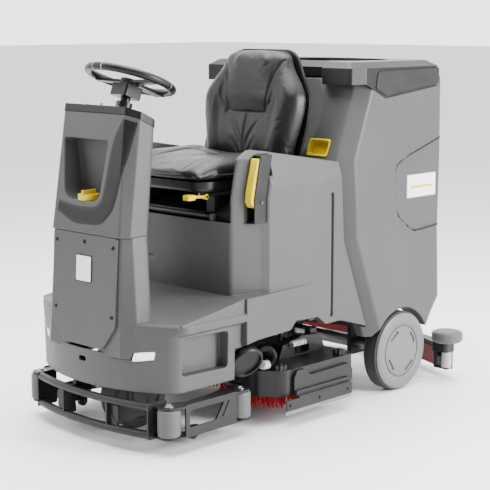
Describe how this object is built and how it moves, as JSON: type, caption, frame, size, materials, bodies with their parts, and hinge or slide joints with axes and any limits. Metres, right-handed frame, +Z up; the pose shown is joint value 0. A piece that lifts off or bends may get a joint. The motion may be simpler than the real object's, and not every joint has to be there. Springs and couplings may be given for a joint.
{
  "type": "ride-on floor scrubber",
  "caption": "Ride-on floor scrubber with a steered drive wheel, round brush deck, rear squeegee, sliding seat, steering tower and a covered recovery tank.",
  "frame": {"origin": "on the floor, under the middle of the machine's bounding box", "axes": "+X to the machine's left, -Y to its front, +Z up"},
  "size_m": [1.023, 1.73, 1.341],
  "materials": {
    "casing_grey": "fine-textured moulded polyethylene",
    "panel_grey": "smooth dark grey moulding",
    "dark_plastic": "fine-textured anthracite moulding",
    "black_plastic": "black glass-filled plastic",
    "yellow_plastic": "gloss yellow moulding",
    "lamp": "clear lamp cover",
    "steel_dark": "dark powder coat",
    "steel_bright": "zinc-plated",
    "seat_leather": "black synthetic leather",
    "tyre": "dark grey polyurethane",
    "rim_grey": "light grey moulded wheel disc",
    "roller_grey": "grey polyamide roller",
    "light_plastic": "light grey plastic",
    "bristle_red": "red polyamide bristles",
    "lip_red": "red polyurethane squeegee rubber",
    "lip_grey": "grey rubber",
    "battery": "black battery case"
  },
  "bodies": {
    "machine": {"chassis_frame": "steel_dark", "front_body": "casing_grey", "front_cover": "panel_grey", "headlamps": "lamp", "tower_shell": "casing_grey", "dash_panel": "dark_plastic", "steering_column": "dark_plastic", "seat_box": "casing_grey", "lever_bezel": "dark_plastic", "batteries": "battery", "waste_tank": "casing_grey", "tank_grip": "yellow_plastic", "tank_hinge": "steel_bright", "rear_axle": "steel_bright", "bumper_frame": "steel_dark", "bumper_sides": "steel_dark", "roller_bolts": "steel_bright", "water_filter": "black_plastic"},
    "steering_wheel": {"steering_wheel": "black_plastic"},
    "drive_fork": {"steering_fork": "steel_dark"},
    "drive_wheel": {"drive_wheel": "tyre"},
    "selector": {"selector_knob": "black_plastic"},
    "key": {"control_key": "yellow_plastic"},
    "filler": {"filler_cap": "yellow_plastic"},
    "squeegee_lever": {"squeegee_lever": "yellow_plastic"},
    "seat_hood": {"seat_hood": "steel_dark", "seat_rails": "steel_bright"},
    "seat": {"seat_frame": "black_plastic", "seat_cushion": "seat_leather", "seat_back": "seat_leather"},
    "slide_lever": {"slide_lever": "yellow_plastic"},
    "tank_cover": {"tank_cover": "dark_plastic", "cover_panels": "panel_grey"},
    "rear_wheel_left": {"rear_rim_left": "rim_grey", "rear_tyre_left": "tyre"},
    "rear_wheel_right": {"rear_rim_right": "rim_grey", "rear_tyre_right": "tyre"},
    "roller_front_left": {"bumper_roller_front_left": "roller_grey"},
    "roller_front_right": {"bumper_roller_front_right": "roller_grey"},
    "roller_side_left": {"bumper_roller_side_left": "roller_grey"},
    "roller_side_right": {"bumper_roller_side_right": "roller_grey"},
    "guide_wheel_left": {"guide_wheel_left": "black_plastic"},
    "guide_wheel_right": {"guide_wheel_right": "black_plastic"},
    "brush_deck": {"deck_housing": "black_plastic", "deck_grips": "light_plastic", "side_squeegee_bars": "steel_bright", "side_squeegee_lips": "lip_grey", "deck_knobs": "black_plastic"},
    "brush_left": {"brush_disc_left": "black_plastic", "brush_bristles_left": "bristle_red"},
    "brush_right": {"brush_disc_right": "black_plastic", "brush_bristles_right": "bristle_red"},
    "squeegee": {"squeegee_arm": "steel_bright", "squeegee_beam": "steel_dark", "squeegee_lips": "lip_red"},
    "deflector_left": {"deflector_left": "roller_grey"},
    "deflector_right": {"deflector_right": "roller_grey"},
    "support_roller_left": {"support_roller_left": "light_plastic"},
    "support_roller_right": {"support_roller_right": "light_plastic"},
    "drive_pedal": {"drive_pedal": "black_plastic"}
  },
  "joints": [
    {"name": "wheel_steer", "type": "hinge", "parent": "machine", "child": "drive_fork", "pos_m": [0, -0.625, 0.3], "axis": [0, 0, 1], "range_deg": [-90, 90]},
    {"name": "steering_turn", "type": "hinge", "parent": "machine", "child": "steering_wheel", "pos_m": [0, -0.62, 1.246], "axis": [0, 0.3437, 0.9391], "range_deg": [-270, 270]},
    {"name": "drive_roll", "type": "hinge", "parent": "drive_fork", "child": "drive_wheel", "pos_m": [0, -0.625, 0.125], "axis": [1, 0, 0], "continuous": true},
    {"name": "selector_turn", "type": "hinge", "parent": "machine", "child": "selector", "pos_m": [-0.088, -0.73945, 1.1409], "axis": [0, 0.4274, 0.9041], "range_deg": [-135, 135]},
    {"name": "key_lift", "type": "slide", "parent": "machine", "child": "key", "axis": [0, 0, 1], "range_m": [0, 0.02]},
    {"name": "filler_cap_turn", "type": "hinge", "parent": "machine", "child": "filler", "pos_m": [-0.032, -0.79, 0.838], "axis": [0, 0, 1], "range_deg": [0, 90]},
    {"name": "lever_pull", "type": "hinge", "parent": "machine", "child": "squeegee_lever", "pos_m": [0.341, -0.335, 0.819], "axis": [1, 0, 0], "range_deg": [0, 30]},
    {"name": "seat_tip", "type": "hinge", "parent": "machine", "child": "seat_hood", "pos_m": [0, -0.417, 0.764], "axis": [1, 0, 0], "range_deg": [0, 35]},
    {"name": "seat_slide", "type": "slide", "parent": "seat_hood", "child": "seat", "axis": [0, -1, 0], "range_m": [-0.035, 0.06]},
    {"name": "slide_lever_lift", "type": "hinge", "parent": "seat", "child": "slide_lever", "pos_m": [0.205, -0.458, 0.838], "axis": [-1, 0, 0], "range_deg": [0, 10], "stiffness_Nm_per_rad": 1, "springref_deg": -17.19},
    {"name": "cover_open", "type": "hinge", "parent": "machine", "child": "tank_cover", "pos_m": [0, 0.702, 1.246], "axis": [-1, 0, 0], "range_deg": [0, 75]},
    {"name": "rear_roll_left", "type": "hinge", "parent": "machine", "child": "rear_wheel_left", "pos_m": [0.3685, 0.433, 0.1575], "axis": [1, 0, 0], "continuous": true},
    {"name": "rear_roll_right", "type": "hinge", "parent": "machine", "child": "rear_wheel_right", "pos_m": [-0.3685, 0.433, 0.1575], "axis": [1, 0, 0], "continuous": true},
    {"name": "roller_spin_front_left", "type": "hinge", "parent": "machine", "child": "roller_front_left", "pos_m": [0.345, -0.772, 0.112], "axis": [0, 0, 1], "continuous": true},
    {"name": "roller_spin_front_right", "type": "hinge", "parent": "machine", "child": "roller_front_right", "pos_m": [-0.345, -0.772, 0.112], "axis": [0, 0, 1], "continuous": true},
    {"name": "roller_spin_side_left", "type": "hinge", "parent": "machine", "child": "roller_side_left", "pos_m": [0.352, -0.439, 0.112], "axis": [0, 0, 1], "continuous": true},
    {"name": "roller_spin_side_right", "type": "hinge", "parent": "machine", "child": "roller_side_right", "pos_m": [-0.352, -0.439, 0.112], "axis": [0, 0, 1], "continuous": true},
    {"name": "guide_roll_left", "type": "hinge", "parent": "machine", "child": "guide_wheel_left", "pos_m": [0.3, -0.619, 0.032], "axis": [1, 0, 0], "continuous": true},
    {"name": "guide_roll_right", "type": "hinge", "parent": "machine", "child": "guide_wheel_right", "pos_m": [-0.3, -0.619, 0.032], "axis": [1, 0, 0], "continuous": true},
    {"name": "deck_lower", "type": "slide", "parent": "machine", "child": "brush_deck", "axis": [0, 0, -1], "range_m": [0, 0.048]},
    {"name": "brush_spin_left", "type": "hinge", "parent": "brush_deck", "child": "brush_left", "pos_m": [0.193, -0.118, 0.15], "axis": [0, 0, 1], "continuous": true},
    {"name": "brush_spin_right", "type": "hinge", "parent": "brush_deck", "child": "brush_right", "pos_m": [-0.2, -0.104, 0.15], "axis": [0, 0, 1], "continuous": true},
    {"name": "squeegee_lower", "type": "hinge", "parent": "machine", "child": "squeegee", "pos_m": [0, 0.56, 0.205], "axis": [-1, 0, 0], "range_deg": [0, 6]},
    {"name": "deflector_spin_left", "type": "hinge", "parent": "squeegee", "child": "deflector_left", "pos_m": [0.449, 0.672, 0.185], "axis": [0, 0, 1], "continuous": true},
    {"name": "support_spin_left", "type": "hinge", "parent": "squeegee", "child": "support_roller_left", "pos_m": [0.449, 0.672, 0.09], "axis": [0, 0, 1], "continuous": true},
    {"name": "deflector_spin_right", "type": "hinge", "parent": "squeegee", "child": "deflector_right", "pos_m": [-0.449, 0.672, 0.185], "axis": [0, 0, 1], "continuous": true},
    {"name": "support_spin_right", "type": "hinge", "parent": "squeegee", "child": "support_roller_right", "pos_m": [-0.449, 0.672, 0.09], "axis": [0, 0, 1], "continuous": true},
    {"name": "pedal_press", "type": "hinge", "parent": "machine", "child": "drive_pedal", "pos_m": [-0.12, -0.56, 0.48763], "axis": [1, 0, 0], "range_deg": [0, 14], "stiffness_Nm_per_rad": 4, "springref_deg": -14.32}
  ],
  "couplings": [
    {"joint": "steering_turn", "follows": "wheel_steer", "ratio": 3},
    {"joint": "lever_pull", "follows": "squeegee_lower", "ratio": 5}
  ]
}
